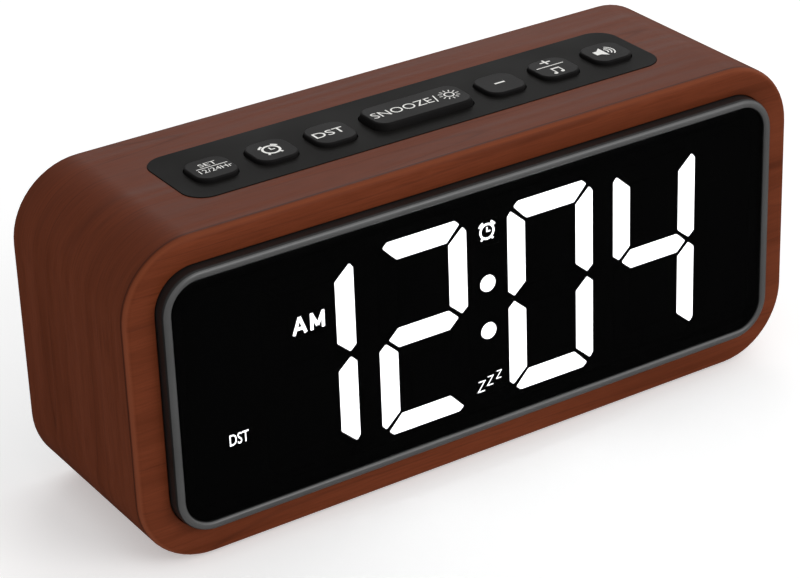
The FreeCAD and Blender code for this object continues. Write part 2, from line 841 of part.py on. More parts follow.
def make_rear_cover():
    clear = cover_clearance
    cover = slab(inner_width - 2 * clear, inner_height - 2 * clear, inner_radius - clear,
                 cover_front_y, cover_back_y, z=middle_z)
    tray = slab(bay_width + 2 * tray_wall, bay_height + 2 * tray_wall, 1.0,
                bay_front_y - tray_wall, cover_front_y + join, tray_x, bay_z)
    rails = [box(rail_width, power_board_size[1], rail_height,
                 socket_x + i * (power_board_size[0] / 2 + rail_gap),
                 cover_front_y - power_board_size[1] / 2,
                 bottom_z + socket_z - rail_height / 2)
             for i in (-1, 1)]
    speaker_at = (speaker_x, bottom_z + speaker_z)
    rim_radius = speaker_radius + speaker_rim_gap
    rim_y = cover_front_y - speaker_rim_depth
    rim = rod_y(rim_radius + speaker_rim_wall, rim_y, cover_front_y + join, *speaker_at)
    rim = rim.cut(rod_y(rim_radius, rim_y - past, cover_front_y, *speaker_at))
    cover = fuse([cover, tray, rim] + rails)
    bay = slab(bay_width, bay_height, bay_corner_radius, bay_front_y, cover_back_y + past,
               tray_x, bay_z)
    door_seat = slab(bay_width + 2 * door_lap, bay_height + 2 * door_lap, door_corner_radius,
                     cover_back_y - door_thickness, cover_back_y + past, tray_x, bay_z)
    slot = box(power_board_size[0] + 2 * board_slack, power_board_size[1],
               power_board_size[2] + board_slack, socket_x,
               cover_front_y - power_board_size[1] / 2,
               bottom_z + socket_z - power_board_size[2] - board_slack / 2)
    gap = socket_clearance
    socket_hole = slab(socket_size[0] + 2 * gap, socket_size[2] + 2 * gap, socket_radius + gap / 2,
                       cover_front_y - past, cover_back_y + past, socket_x,
                       bottom_z + socket_z + socket_size[2] / 2)
    cuts = [bay, door_seat, slot, socket_hole]
    cuts += grille_holes() + vent_slots()
    for x, z in boss_places():
        cuts.append(rod_y(cover_screw_radius + cover_clearance, cover_front_y - past,
                          cover_back_y + past, x, z))
        cuts.append(rod_y(cover_screw_head + cover_clearance,
                          cover_back_y - cover_screw_head_depth, cover_back_y + past, x, z))
    return cover.cut(Part.makeCompound(cuts))


def grille_holes():
    """Holes in a hexagonal pattern over the speaker cone."""
    holes = []
    row_pitch = grille_pitch * math.cos(math.pi / 6)
    rows = int(grille_radius / row_pitch) + 1
    for j in range(-rows, rows + 1):
        for i in range(-rows, rows + 1):
            x = (i + 0.5 * (j % 2)) * grille_pitch
            z = j * row_pitch
            if math.hypot(x, z) <= grille_radius - grille_hole_radius:
                holes.append(rod_y(grille_hole_radius, cover_front_y - past, cover_back_y + past,
                                   speaker_x + x, bottom_z + speaker_z + z))
    return holes


def vent_slots():
    end_radius = vent_size[0] * 0.49
    return [slab(vent_size[0], vent_size[1], end_radius, cover_front_y - past,
                 cover_back_y + past, vent_x + (i - (vent_count - 1) / 2) * vent_pitch,
                 bottom_z + vent_z) for i in range(vent_count)]


def make_cover_screws():
    head_y = cover_back_y - cover_screw_head_depth
    reach = cover_screw_length - board_screw_room
    return group([screw_y(cover_screw_radius, cover_screw_head, cover_screw_head_depth,
                          head_y, reach, x, z) for x, z in boss_places()])


def make_battery_door():
    """Lid flush with the cover, with finger grooves."""
    gap = door_clearance
    lid = slab(bay_width + 2 * door_lap - 2 * gap, bay_height + 2 * door_lap - 2 * gap,
               door_corner_radius - gap, cover_back_y - door_thickness, cover_back_y,
               tray_x, bay_z)
    grooves = [Part.makeCylinder(groove_radius, groove_length,
                                 V(tray_x - groove_length / 2, cover_back_y + groove_radius / 5,
                                   bay_z + (i - 1.5) * groove_pitch), V(1, 0, 0))
               for i in range(4)]
    return lid.cut(Part.makeCompound(grooves))


def cell_end(way):
    """Where the flat end of a cell lies, for a cell whose cap points this way along X."""
    return tray_x - way * (battery_length / 2 - (spring_room - battery_cap_length) / 2)


def make_batteries():
    cells = []
    for z, way in battery_rows():
        body = Part.makeCylinder(battery_radius, battery_length, V(cell_end(way), battery_y, z),
                                 V(way, 0, 0))
        cap = Part.makeCylinder(battery_cap_radius, battery_cap_length + join,
                                V(cell_end(way) + way * (battery_length - join), battery_y, z),
                                V(way, 0, 0))
        cells.append(fuse([body, cap]))
    return group(cells)


def make_contacts():
    """Spring-steel plates at both ends of the battery bay."""
    plates = []
    for side in (-1, 1):
        x = tray_x + side * (bay_width / 2 - contact_thickness / 2 - contact_gap)
        for z, way in battery_rows():
            plates.append(box(contact_thickness, contact_size[0], contact_size[1], x,
                              battery_y, z - contact_size[1] / 2))
    return group(plates)


def make_springs():
    """Conical-contact springs that push each cell against its far plate."""
    springs = []
    for z, way in battery_rows():
        wall = tray_x - way * (bay_width / 2 - contact_thickness - contact_gap)
        length = abs(cell_end(way) - wall) - 2 * contact_gap
        helix = Part.makeHelix(length / spring_turns, length - 2 * spring_wire,
                               spring_outer - spring_wire)
        ring = Part.Wire(Part.makeCircle(spring_wire, V(spring_outer - spring_wire, 0, 0),
                                         V(0, 1, 0)))
        coil = Part.Wire(helix).makePipeShell([ring], True, True)
        coil.rotate(V(0, 0, 0), V(0, 1, 0), 90 * way)
        coil.translate(V(wall + way * (spring_wire + contact_gap), battery_y, z))
        springs.append(coil)
    return group(springs)


def make_speaker_frame():
    z = bottom_z + speaker_z
    rim = rod_y(speaker_radius, cover_front_y - speaker_rim_depth, cover_front_y, speaker_x, z)
    basket = rod_y(speaker_basket_radius, cover_front_y - speaker_basket_depth,
                   cover_front_y - speaker_rim_depth + speaker_rim_floor / 2, speaker_x, z)
    frame = fuse([rim, basket])
    bore = rod_y(speaker_radius - speaker_rim_lip,
                 cover_front_y - speaker_rim_depth + speaker_rim_floor,
                 cover_front_y + past, speaker_x, z)
    well = rod_y(speaker_basket_radius - speaker_basket_wall,
                 cover_front_y - speaker_basket_depth + speaker_basket_wall,
                 cover_front_y + past, speaker_x, z)
    return frame.cut(bore).cut(well)


def make_speaker_cone():
    """Shallow paper cone with a dust cap, inside the frame."""
    z = bottom_z + speaker_z
    rim_y = cover_front_y - speaker_rim_depth + speaker_rim_floor + cone_rise
    wide = speaker_basket_radius - speaker_basket_wall - cone_gap
    narrow = cone_throat
    outer = Part.makeCone(narrow, wide, cone_depth, V(speaker_x, rim_y - cone_depth, z),
                          V(0, 1, 0))
    inner = Part.makeCone(narrow, wide, cone_depth,
                          V(speaker_x, rim_y - cone_depth + cone_wall, z), V(0, 1, 0))
    dome = Part.makeSphere(dust_cap_radius,
                           V(speaker_x, rim_y - cone_depth - dust_cap_drop, z))
    dome = dome.common(outer)
    return fuse([outer.cut(inner), dome])


def make_speaker_magnet():
    z = bottom_z + speaker_z
    back = cover_front_y - speaker_basket_depth
    return rod_y(magnet_radius, back - magnet_depth, back, speaker_x, z)


def make_power_socket():
    w, d, h = socket_size
    z = bottom_z + socket_z + h / 2
    mouth = cover_back_y - socket_inset
    shell = slab(w, h, socket_radius, mouth - d, mouth, socket_x, z)
    cavity = slab(w - 2 * socket_wall, h - 2 * socket_wall, socket_radius - socket_wall,
                  mouth - d + socket_wall, mouth + past, socket_x, z)
    return shell.cut(cavity)


def make_socket_tongue():
    w, d, h = tongue_size
    inside = cover_back_y - socket_inset - socket_size[1] + socket_wall
    z = bottom_z + socket_z + socket_size[2] / 2
    return box(w, d, h, socket_x, inside + d / 2, z - h / 2)


def make_power_board():
    w, d, h = power_board_size
    return box(w, d, h, socket_x, cover_front_y - board_slack - d / 2,
               bottom_z + socket_z - h)


def make_speaker_lead():
    end_x = speaker_x - speaker_basket_radius + 3
    end_y = cover_front_y - speaker_basket_depth
    z = bottom_z + speaker_z
    step = (end_y - wire_start_y) / 4
    return wire_pair([(speaker_socket_x, wire_start_y, wire_socket_z),
                      (speaker_socket_x, wire_start_y + step, wire_socket_z),
                      (end_x, end_y - step, z), (end_x, end_y, z)], V(0, 0, 1))


def make_battery_lead():
    end = bay_front_y - tray_wall
    return wire_pair([(battery_socket_x, wire_start_y, wire_socket_z),
                      (battery_socket_x, end, wire_socket_z)], V(1, 0, 0))


def make_power_lead():
    low = bottom_z + socket_z - power_board_size[2] / 2
    end = cover_front_y - board_slack - power_board_size[1]
    step = (end - wire_start_y) / 3
    return wire_pair([(power_socket_x, wire_start_y, wire_socket_z),
                      (power_socket_x, wire_start_y + step, wire_socket_z),
                      (socket_x, end - step, low), (socket_x, end, low)], V(1, 0, 0))


os.makedirs("parts", exist_ok=True)
save("case_shell", make_case_shell())
save("rubber_feet", make_feet())
save("front_bezel", make_bezel())
save("display_lens", make_lens())
save("segment_mask", make_mask())
save("segment_housing", make_housing())
for digit in digit_names:
    save(digit + "_lit_segments", lit_segments(digit))
save("unlit_segments", make_unlit_segments())
save("colon_dots", make_colon())
save("indicator_windows", make_indicators())
save("display_leds", make_leds())
save("display_board", make_display_board())
save("main_board", make_main_board())
save("board_spacers", make_spacers())
save("board_screws", make_board_screws())
save("pin_header", make_pin_header())
save("controller_chip", make_controller_chip())
save("board_parts", make_board_parts())
save("keypad_panel", make_keypad_panel())
for key_name, key_x in key_places.items():
    save(key_name, make_key(key_x))
save("snooze_key", make_snooze_key())
save("key_switches", make_switches())
save("key_board", make_key_board())
save("key_board_screws", make_key_board_screws())
save("key_ribbon", make_key_ribbon())
save("rear_cover", make_rear_cover())
save("cover_screws", make_cover_screws())
save("battery_door", make_battery_door())
save("battery_cells", make_batteries())
save("battery_contacts", make_contacts())
save("battery_springs", make_springs())
save("speaker_frame", make_speaker_frame())
save("speaker_cone", make_speaker_cone())
save("speaker_magnet", make_speaker_magnet())
save("power_socket", make_power_socket())
save("socket_tongue", make_socket_tongue())
save("power_board", make_power_board())
save("speaker_lead", make_speaker_lead())
save("battery_lead", make_battery_lead())
save("power_lead", make_power_lead())
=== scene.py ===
import math

import bpy
import bmesh
from mathutils import Matrix, Vector


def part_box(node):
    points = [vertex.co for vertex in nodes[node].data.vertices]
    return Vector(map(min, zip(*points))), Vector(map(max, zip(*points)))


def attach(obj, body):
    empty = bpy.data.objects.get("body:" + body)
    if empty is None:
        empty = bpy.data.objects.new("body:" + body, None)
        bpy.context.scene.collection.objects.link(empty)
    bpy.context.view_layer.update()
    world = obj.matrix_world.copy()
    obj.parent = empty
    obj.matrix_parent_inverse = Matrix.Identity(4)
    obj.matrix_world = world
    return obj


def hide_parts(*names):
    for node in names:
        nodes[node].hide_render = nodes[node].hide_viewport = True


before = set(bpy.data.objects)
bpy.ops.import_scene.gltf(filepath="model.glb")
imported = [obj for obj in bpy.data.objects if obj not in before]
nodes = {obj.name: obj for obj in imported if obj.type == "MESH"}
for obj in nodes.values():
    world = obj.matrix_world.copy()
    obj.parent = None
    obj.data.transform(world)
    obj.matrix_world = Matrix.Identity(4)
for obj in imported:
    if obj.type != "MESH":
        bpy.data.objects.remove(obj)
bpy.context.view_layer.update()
scene = bpy.context.scene
scene.view_settings.view_transform = "Standard"    # so that lit white stays white

# Everything below is drawn in millimetres and put into metres when a piece is finished.
perMetre = 1000.0


def nodeBox(name):
    low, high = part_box(name)
    return Vector(low) * perMetre, Vector(high) * perMetre


# small helpers for materials
def srgb(code, alpha=1.0):
    # hex colour as a linear colour
    parts = [int(code[i:i + 2], 16) / 255 for i in (1, 3, 5)]
    line = [c / 12.92 if c <= 0.04045 else ((c + 0.055) / 1.055) ** 2.4 for c in parts]
    return (*line, alpha)


def addNode(tree, kind, inputs=None, output=0, stops=None, **settings):
    # adds a shader node with its settings, values, links and ramp stops; gives one output
    node = tree.nodes.new("ShaderNode" + kind)
    for key, value in settings.items():
        setattr(node, key, value)
    for key, value in (inputs or {}).items():
        if isinstance(value, bpy.types.NodeSocket):
            tree.links.new(value, node.inputs[key])
        else:
            node.inputs[key].default_value = value
    for i, (place, colour) in enumerate(stops or []):
        ramp = node.color_ramp.elements
        stop = ramp[i] if i < len(ramp) else ramp.new(place)
        stop.position = place
        stop.color = colour
    return node.outputs[output]


def newMaterial(name, **values):
    # a material whose shader has these constants; links go on top of them
    material = bpy.data.materials.new(name)
    material.use_nodes = True
    tree = material.node_tree
    shader = tree.nodes["Principled BSDF"]
    for key, value in values.items():
        shader.inputs[key.replace("_", " ")].default_value = value
    return material, tree, shader


# materials
woodLook = {
    "base": "#66301A", "dark": "#582814", "warm": "#6F361F", "lineTone": "#38190F",
    "pale": "#8A4A30", "edgeHighlightShare": 0.5, "darkEdge": 0.9,   # painted highlight on the round of the front edge, and a dark line just behind it
    "edgeReach": 4.0,                            # mm behind the front that the edge is drawn on
    "roughness": 0.46, "sheen": 0.05,
    # length and width in mm, detail, distortion and shift of each layer of the grain
    "fibre": (7.0, 0.42, 3.0, 0.0, 0.0),         # fine hairs
    "streak": (70.0, 3.2, 4.0, 0.4, 3.1),        # bands that follow the grain
    "cloud": (60.0, 26.0, 2.0, 0.6, 7.7),        # slow changes of tone
    "line": (220.0, 15.0, 1.0, 0.2, 1.3),        # rare dark growth lines
}


def walnutWrap():
    # Printed walnut-grain film under satin lacquer: soft sheen, warm red-brown, fine hairs
    look = woodLook
    material, tree, shader = newMaterial("walnutGrainFilm", Roughness=look["roughness"],
                                         IOR=1.5, Specular_IOR_Level=look["sheen"])
    dark, base, warm, line = (srgb(look[key]) for key in ("dark", "base", "warm", "lineTone"))
    grain = addNode(tree, "UVMap", uv_map="grain")
    layers = {}
    for key in ("fibre", "streak", "cloud", "line"):
        length, width, detail, distortion, shift = look[key]
        scale = (perMetre / length, perMetre / width, 1.0)
        stretched = addNode(tree, "Mapping", {"Vector": grain, "Scale": scale,
                                              "Location": (shift, shift, 0)})
        layers[key] = addNode(tree, "TexNoise", {"Vector": stretched, "Scale": 1.0,
                                                 "Detail": detail, "Roughness": 0.55,
                                                 "Distortion": distortion})
    colour = addNode(tree, "ValToRGB", {0: layers["streak"]},
                     stops=[(0.28, dark), (0.5, base), (0.74, warm)])
    share = addNode(tree, "MapRange", {0: layers["cloud"], 1: 0.35, 2: 0.7, 3: 0.0, 4: 0.55})
    colour = addNode(tree, "Mix", {0: share, 6: colour, 7: warm}, 2, data_type="RGBA")
    share = addNode(tree, "MapRange", {0: layers["fibre"], 1: 0.42, 2: 0.72, 3: 0.0, 4: 0.6})
    colour = addNode(tree, "Mix", {0: share, 6: colour, 7: dark}, 2, data_type="RGBA")
    near = addNode(tree, "Math", {0: layers["line"], 1: 0.5}, operation="SUBTRACT")
    near = addNode(tree, "Math", {0: near}, operation="ABSOLUTE")
    share = addNode(tree, "MapRange", {0: near, 1: 0.0, 2: 0.008, 3: 0.3, 4: 0.0})
    colour = addNode(tree, "Mix", {0: share, 6: colour, 7: line}, 2, data_type="RGBA")
    # along the front edge: a painted highlight where it bends, and a dark line just behind that,
    # where the round meets the side
    place = addNode(tree, "SeparateXYZ", {0: addNode(tree, "TexCoord", output="Object")}, "Y")
    front = nodeBox("case_shell")[0].y / perMetre
    reach = addNode(tree, "MapRange", {0: place, 1: front,
                                       2: front + look["edgeReach"] / perMetre})
    black = (0, 0, 0, 1)
    pale, dusk = ((look[key],) * 3 + (1,) for key in ("edgeHighlightShare", "darkEdge"))
    share = addNode(tree, "ValToRGB", {0: reach}, stops=[(0.03, black), (0.12, pale),
                                                         (0.25, pale), (0.32, black)])
    # the painted highlight on the front edge's round
    colour = addNode(tree, "Mix", {0: share, 6: colour, 7: srgb(look["pale"])}, 2,
                     data_type="RGBA")
    share = addNode(tree, "ValToRGB", {0: reach}, stops=[(0.33, black), (0.4, dusk),
                                                         (0.5, black)])
    colour = addNode(tree, "Mix", {0: share, 6: colour, 7: line}, 2, data_type="RGBA")
    tree.links.new(colour, shader.inputs["Base Color"])
    rough = addNode(tree, "MapRange", {0: layers["streak"], 1: 0.3, 2: 0.7, 3: 0.4, 4: 0.54})
    tree.links.new(rough, shader.inputs["Roughness"])
    pores = addNode(tree, "Bump", {"Height": layers["fibre"], "Strength": 0.12,
                                   "Distance": 0.00006})
    tree.links.new(pores, shader.inputs["Normal"])
    return material


def mouldedPlastic(name, colour, roughness, grit=0.25, depth=0.00002, strength=0.2,
                   shine=0.25):
    # Injection-moulded plastic: even colour, with a fine grit in its surface and faint patches
    material, tree, shader = newMaterial(name, IOR=1.5, Specular_IOR_Level=shine)
    place = addNode(tree, "TexCoord", output="Object")
    fine = addNode(tree, "TexNoise", {"Vector": place, "Scale": perMetre / grit, "Detail": 2.0})
    broad = addNode(tree, "TexNoise", {"Vector": place, "Scale": perMetre / 18.0, "Detail": 3.0})
    plain = srgb(colour)
    lighter = tuple(min(1.0, c * 1.15 + 0.0008) for c in plain[:3]) + (1.0,)
    share = addNode(tree, "MapRange", {0: broad, 1: 0.35, 2: 0.65, 3: 0.0, 4: 1.0})
    patches = addNode(tree, "Mix", {0: share, 6: plain, 7: lighter}, 2, data_type="RGBA")
    tree.links.new(patches, shader.inputs["Base Color"])
    rough = addNode(tree, "MapRange", {0: broad, 1: 0.3, 2: 0.7, 3: roughness - 0.04,
                                       4: roughness + 0.06})
    tree.links.new(rough, shader.inputs["Roughness"])
    grain = addNode(tree, "Bump", {"Height": fine, "Strength": strength, "Distance": depth})
    tree.links.new(grain, shader.inputs["Normal"])
    return material


def smokedAcrylic():
    # Smoked acrylic, polished: nearly black, so that only what shines behind it shows
    material, tree, shader = newMaterial("smokedAcrylicLens", IOR=1.49, Alpha=0.62,
                                         Base_Color=srgb("#050505"), Specular_IOR_Level=0.12)
    place = addNode(tree, "TexCoord", output="Object")
    smear = addNode(tree, "TexNoise", {"Vector": place, "Scale": perMetre / 35.0, "Detail": 3.0})
    rough = addNode(tree, "MapRange", {0: smear, 1: 0.3, 2: 0.7, 3: 0.05, 4: 0.1})
    tree.links.new(rough, shader.inputs["Roughness"])
    return material


def litGuide(name, strength):
    # Light guide with a white chip behind it: even white, a little softer towards the blue
    material, tree, shader = newMaterial(name, Base_Color=srgb("#D8DCE0"), Roughness=0.5,
                                         Emission_Strength=strength)
    place = addNode(tree, "TexCoord", output="Object")
    glow = addNode(tree, "TexNoise", {"Vector": place, "Scale": perMetre / 9.0, "Detail": 1.0})
    share = addNode(tree, "MapRange", {0: glow, 1: 0.3, 2: 0.7, 3: 0.0, 4: 1.0})
    white = addNode(tree, "Mix", {0: share, 6: srgb("#FAFCFF"), 7: srgb("#FFFFFF")}, 2,
                    data_type="RGBA")
    tree.links.new(white, shader.inputs["Emission Color"])
    return material


def solderMask(name):
    # Fibreglass board under green solder mask, with its copper tracks just showing
    material, tree, shader = newMaterial(name, Roughness=0.35, IOR=1.5)
    place = addNode(tree, "TexCoord", output="Object")
    tracks = addNode(tree, "TexBrick", {"Vector": place, "Scale": perMetre / 3.0,
                                        "Color1": srgb("#0F4A26"), "Color2": srgb("#0C3D20"),
                                        "Mortar": srgb("#1F6B3A"), "Mortar Size": 0.03},
                     offset=0.5)
    tree.links.new(tracks, shader.inputs["Base Color"])
    cloth = addNode(tree, "TexNoise", {"Vector": place, "Scale": perMetre / 0.6, "Detail": 1.0})
    weave = addNode(tree, "Bump", {"Height": cloth, "Strength": 0.2, "Distance": 0.00002})
    tree.links.new(weave, shader.inputs["Normal"])
    return material


def platedSteel(name, colour, roughness):
    # Nickel-plated steel, drawn or pressed: fine lines from the tool along its length
    material, tree, shader = newMaterial(name, Metallic=1.0, Base_Color=srgb(colour))
    place = addNode(tree, "TexCoord", output="Object")
    drawn = addNode(tree, "Mapping", {"Vector": place, "Scale": (perMetre / 4.0, perMetre / 4.0,
                                                                 perMetre / 0.2)})
    lines = addNode(tree, "TexNoise", {"Vector": drawn, "Scale": 1.0, "Detail": 2.0})
    rough = addNode(tree, "MapRange", {0: lines, 1: 0.3, 2: 0.7, 3: roughness - 0.08,
                                       4: roughness + 0.1})
    tree.links.new(rough, shader.inputs["Roughness"])
    return material


def rubberCompound():
    # Black rubber pad: matt, dusty grey where it has rubbed
    material, tree, shader = newMaterial("mouldedRubber", IOR=1.52)
    place = addNode(tree, "TexCoord", output="Object")
    dust = addNode(tree, "TexNoise", {"Vector": place, "Scale": perMetre / 2.5, "Detail": 4.0})
    share = addNode(tree, "MapRange", {0: dust, 1: 0.45, 2: 0.75, 3: 0.0, 4: 0.5})
    dusty = addNode(tree, "Mix", {0: share, 6: srgb("#151515"), 7: srgb("#3A3835")}, 2,
                    data_type="RGBA")
    tree.links.new(dusty, shader.inputs["Base Color"])
    rough = addNode(tree, "MapRange", {0: dust, 3: 0.75, 4: 0.9})
    tree.links.new(rough, shader.inputs["Roughness"])
    return material


print("materials")
wood = walnutWrap()
bezelGloss = mouldedPlastic("satinBlackAbs", "#1E1E1E", 0.36, grit=0.5, strength=0.05,
                            shine=0.4)
# the bead's crown in paler grey: a lighter ring, and a painted highlight along the bead
bezelCrownHighlight = mouldedPlastic("satinAbsCrownHighlight", "#4A4A4A", 0.36, grit=0.5, strength=0.05,
                            shine=0.6)
lensMaterial = smokedAcrylic()
maskFilm = mouldedPlastic("printedBlackFilm", "#030303", 0.6)
litWhite = litGuide("litWhiteGuide", 16.0)
unlitGuide = mouldedPlastic("unlitGuideResin", "#060606", 0.5)
keypadPlastic = mouldedPlastic("keypadMattAbs", "#171615", 0.5, grit=0.3, shine=0.025)
keyPlastic = mouldedPlastic("keySatinAbs", "#191818", 0.42, grit=0.3, shine=0.03)
keyInk = mouldedPlastic("whitePadPrint", "#F2F0EC", 0.5)
coverPlastic = mouldedPlastic("coverSparkErodedAbs", "#161616", 0.55, grit=0.7,
                              depth=0.00006, strength=0.5)
innerPlastic = mouldedPlastic("mouldedBlackAbs", "#181818", 0.5)
chipEpoxy = mouldedPlastic("mouldedEpoxy", "#141414", 0.6, grit=0.4)
ledResin = mouldedPlastic("ledPhosphorResin", "#E6D98A", 0.3)
cellSleeve = mouldedPlastic("shrinkSleeve", "#4A5560", 0.3)
wireSleeve = mouldedPlastic("wirePvc", "#8E1B18", 0.4)
ribbonPlastic = mouldedPlastic("ribbonPolyester", "#B9BCC2", 0.4)
conePaper = mouldedPlastic("pressedConePaper", "#191817", 0.85, grit=0.5, depth=0.00008,
                           strength=0.6)
boardGreen = solderMask("greenSolderMask")
screwSteel = platedSteel("blackenedScrewSteel", "#3C3C40", 0.35)
nickel = platedSteel("nickelPlatedSteel", "#B9B2A4", 0.28)
rubber = rubberCompound()


# small helpers for meshes
cornerSteps = 14                 # facets round each rounded corner
ringSpacing = 40.0               # mm between rings while they are joined
nearby = 0.001                   # mm, closer than this counts as the same place
smoothAngle = 32.0               # degrees, edges flatter than this are shaded smooth
flatWeight = 80                  # how far large faces set the shading of small ones
pieceWeld, legendWeld = 1e-5, 1e-4              # mm, points closer than this become one
roundSteps = {"windowRound": 3, "frontRound": 8, "backRound": 4, "outerRound": 7,
              "innerRound": 6, "lensRound": 3, "topRound": 6}    # facets across each edge


def outline(bm, width, height, radius, at, centre=(0.0, 0.0), up="Y", steps=cornerSteps):
    # one flat rounded rectangle, across the Y axis or the Z axis
    old = set(bm.faces)
    made = bmesh.ops.create_grid(bm, x_segments=1, y_segments=1, size=0.5)["verts"]
    bmesh.ops.scale(bm, vec=(width, height, 1), verts=made)
    bmesh.ops.bevel(bm, geom=made, offset=radius, offset_type="OFFSET", segments=steps,
                    profile=0.5, affect="VERTICES", clamp_overlap=False, material=-1)
    face = [f for f in bm.faces if f not in old][0]
    if up == "Y":
        turn = Matrix.Rotation(math.pi / 2, 4, "X")
        bmesh.ops.transform(bm, matrix=Matrix.Translation((centre[0], at, centre[1])) @ turn,
                            verts=face.verts[:])
    else:
        bmesh.ops.translate(bm, vec=(centre[0], centre[1], at), verts=face.verts[:])
    return face


def loft(bm, rings, up="Y", closed=False, caps=(False, False), steps=cornerSteps):
    # rings of (width, height, radius, place, centre) joined one to the next; they stand well
    # apart while they are joined, so that rings in one plane can't be joined crosswise
    faces = [outline(bm, *ring[:3], i * ringSpacing, ring[4], up, steps)
             for i, ring in enumerate(rings)]
    loops = [face.edges[:] for face in faces]
    corners = [face.verts[:] for face in faces]
    kept = {faces[0] if caps[0] else None, faces[-1] if caps[1] else None}
    pairs = list(zip(loops, loops[1:])) + ([(loops[-1], loops[0])] if closed else [])
    drop = [face for face in faces if face not in kept]
    bmesh.ops.delete(bm, geom=drop, context="FACES_ONLY")
    for first, second in pairs:
        bmesh.ops.bridge_loops(bm, edges=first + second)
    for ring, verts in zip(rings, corners):
        for vert in verts:
            vert.co["XYZ".index(up)] = ring[3]
    bm.normal_update()


def roundOver(sizes, name):
    # (inset, drop) pairs that turn a wall into a top, from the wall to the top
    radius, steps = sizes[name], roundSteps[name]
    turns = [i * math.pi / 2 / steps for i in range(steps + 1)]
    return [(radius * (1 - math.cos(t)), radius * (1 - math.sin(t))) for t in turns]


def finishPiece(bm, name, materials, body, weighted=True):
    # closes the bmesh into an object in metres that rides on its body
    bmesh.ops.remove_doubles(bm, verts=bm.verts[:], dist=pieceWeld)
    bmesh.ops.scale(bm, vec=(1 / perMetre,) * 3, verts=bm.verts[:])
    mesh = bpy.data.meshes.new(name)
    bm.to_mesh(mesh)
    bm.free()
    for material in materials:
        mesh.materials.append(material)
    mesh.shade_smooth()
    mesh.set_sharp_from_angle(angle=math.radians(smoothAngle))
    piece = bpy.data.objects.new(name, mesh)
    scene.collection.objects.link(piece)
    if weighted:
        flats = piece.modifiers.new("flatFaces", "WEIGHTED_NORMAL")
        flats.keep_sharp = True
        flats.weight = flatWeight
    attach(piece, body)
    return piece


def addMesh(bm, mesh, matrix, materialIndex=0):
    # copies a mesh into the bmesh, moved by the matrix
    mesh.transform(matrix)
    for polygon in mesh.polygons:
        polygon.material_index = materialIndex
    bm.from_mesh(mesh)
    bpy.data.meshes.remove(mesh)


# legends, flat shapes drawn in X and Y with the middle at 0, 0
def lettering(words, height, squeeze=1.0, heavy=0.0, slant=0.0):
    # text of a given capital height
    curve = bpy.data.curves.new("lettering", "FONT")
    curve.body = words
    curve.align_x, curve.align_y = "CENTER", "CENTER"
    curve.size = 1.0
    curve.offset = heavy
    curve.shear = slant
    curve.resolution_u = 4
    holder = bpy.data.objects.new("lettering", curve)
    mesh = bpy.data.meshes.new_from_object(holder)
    bpy.data.objects.remove(holder)
    capHeight = max(v.co.y for v in mesh.vertices) - min(v.co.y for v in mesh.vertices)
    middle = (max(v.co.y for v in mesh.vertices) + min(v.co.y for v in mesh.vertices)) / 2
    size = height / capHeight
    mesh.transform(Matrix.Diagonal((size * squeeze, size, 1, 1))
                   @ Matrix.Translation((0, -middle, 0)))
    return mesh


def flatShape(bm):
    mesh = bpy.data.meshes.new("flatShape")
    bm.to_mesh(mesh)
    bm.free()
    return mesh


def line(start, end, width):
    # straight bar between two points
    bm = bmesh.new()
    start, end = Vector((*start, 0)), Vector((*end, 0))
    run = end - start
    bar = bmesh.ops.create_grid(bm, x_segments=1, y_segments=1, size=0.5)["verts"]
    bmesh.ops.scale(bm, vec=(run.length, width, 1), verts=bar)
    turn = Matrix.Rotation(math.atan2(run.y, run.x), 4, "Z")
    bmesh.ops.transform(bm, matrix=Matrix.Translation((start + end) / 2) @ turn, verts=bar)
    return flatShape(bm)


def arc(centre, radius, fromDegrees, toDegrees, width):
    # bent bar: a short edge spun about the centre
    bm = bmesh.new()
    start, sweep = math.radians(fromDegrees), math.radians(toDegrees - fromDegrees)
    ends = [bm.verts.new((centre[0] + reach * math.cos(start), centre[1] + reach * math.sin(start),
                          0)) for reach in (radius - width / 2, radius + width / 2)]
    edge = bm.edges.new(ends)
    bmesh.ops.spin(bm, geom=ends + [edge], cent=(*centre, 0), axis=(0, 0, 1), angle=sweep,
                   steps=max(4, int(abs(sweep) * 6)), use_duplicate=False)
    bmesh.ops.remove_doubles(bm, verts=bm.verts[:], dist=legendWeld)
    bmesh.ops.recalc_face_normals(bm, faces=bm.faces[:])
    return flatShape(bm)


def disc(centre, radius):
    bm = bmesh.new()
    bmesh.ops.create_circle(bm, cap_ends=True, segments=20, radius=radius,
                            matrix=Matrix.Translation((*centre, 0)))
    return flatShape(bm)


def blob(points):
    # a filled outline
    bm = bmesh.new()
    bm.faces.new([bm.verts.new((x, y, 0)) for x, y in points])
    bmesh.ops.triangulate(bm, faces=bm.faces[:])
    return flatShape(bm)


def morningSign(size):
    # bold A and M out of straight bars
    tall, bold, foot = size / 2, size * 0.19, size * 0.37
    left, right = -size * 0.54, size * 0.55
    leg, top = size * 0.35, tall - bold * 0.4
    return [line((left - foot, -tall), (left, tall), bold), line((left + foot, -tall),
                                                                 (left, tall), bold),
            line((left - foot * 0.5, -tall * 0.35), (left + foot * 0.5, -tall * 0.35), bold),
            line((right - leg, -tall), (right - leg, tall), bold),
            line((right + leg, -tall), (right + leg, tall), bold),
            line((right - leg, top), (right, -tall * 0.6), bold),
            line((right + leg, top), (right, -tall * 0.6), bold)]


def alarmSign(size):
    # round clock with two bells, two feet and its hands
    ring = size * 0.34
    shapes = [arc((0, 0), ring, 0, 360, size * 0.1),
              line((0, ring * 0.6), (0, -size * 0.03), size * 0.07),
              line((size * 0.035, 0), (ring * 0.5, 0), size * 0.07)]
    for side in (-1, 1):
        lean = 90 - side * 42
        shapes.append(arc((0, 0), size * 0.47, lean - 17, lean + 17, size * 0.1))
        foot = math.radians(270 + side * 38)
        shapes.append(line((math.cos(foot) * size * 0.39, math.sin(foot) * size * 0.39),
                           (math.cos(foot) * size * 0.5, math.sin(foot) * size * 0.5),
                           size * 0.1))
    return shapes


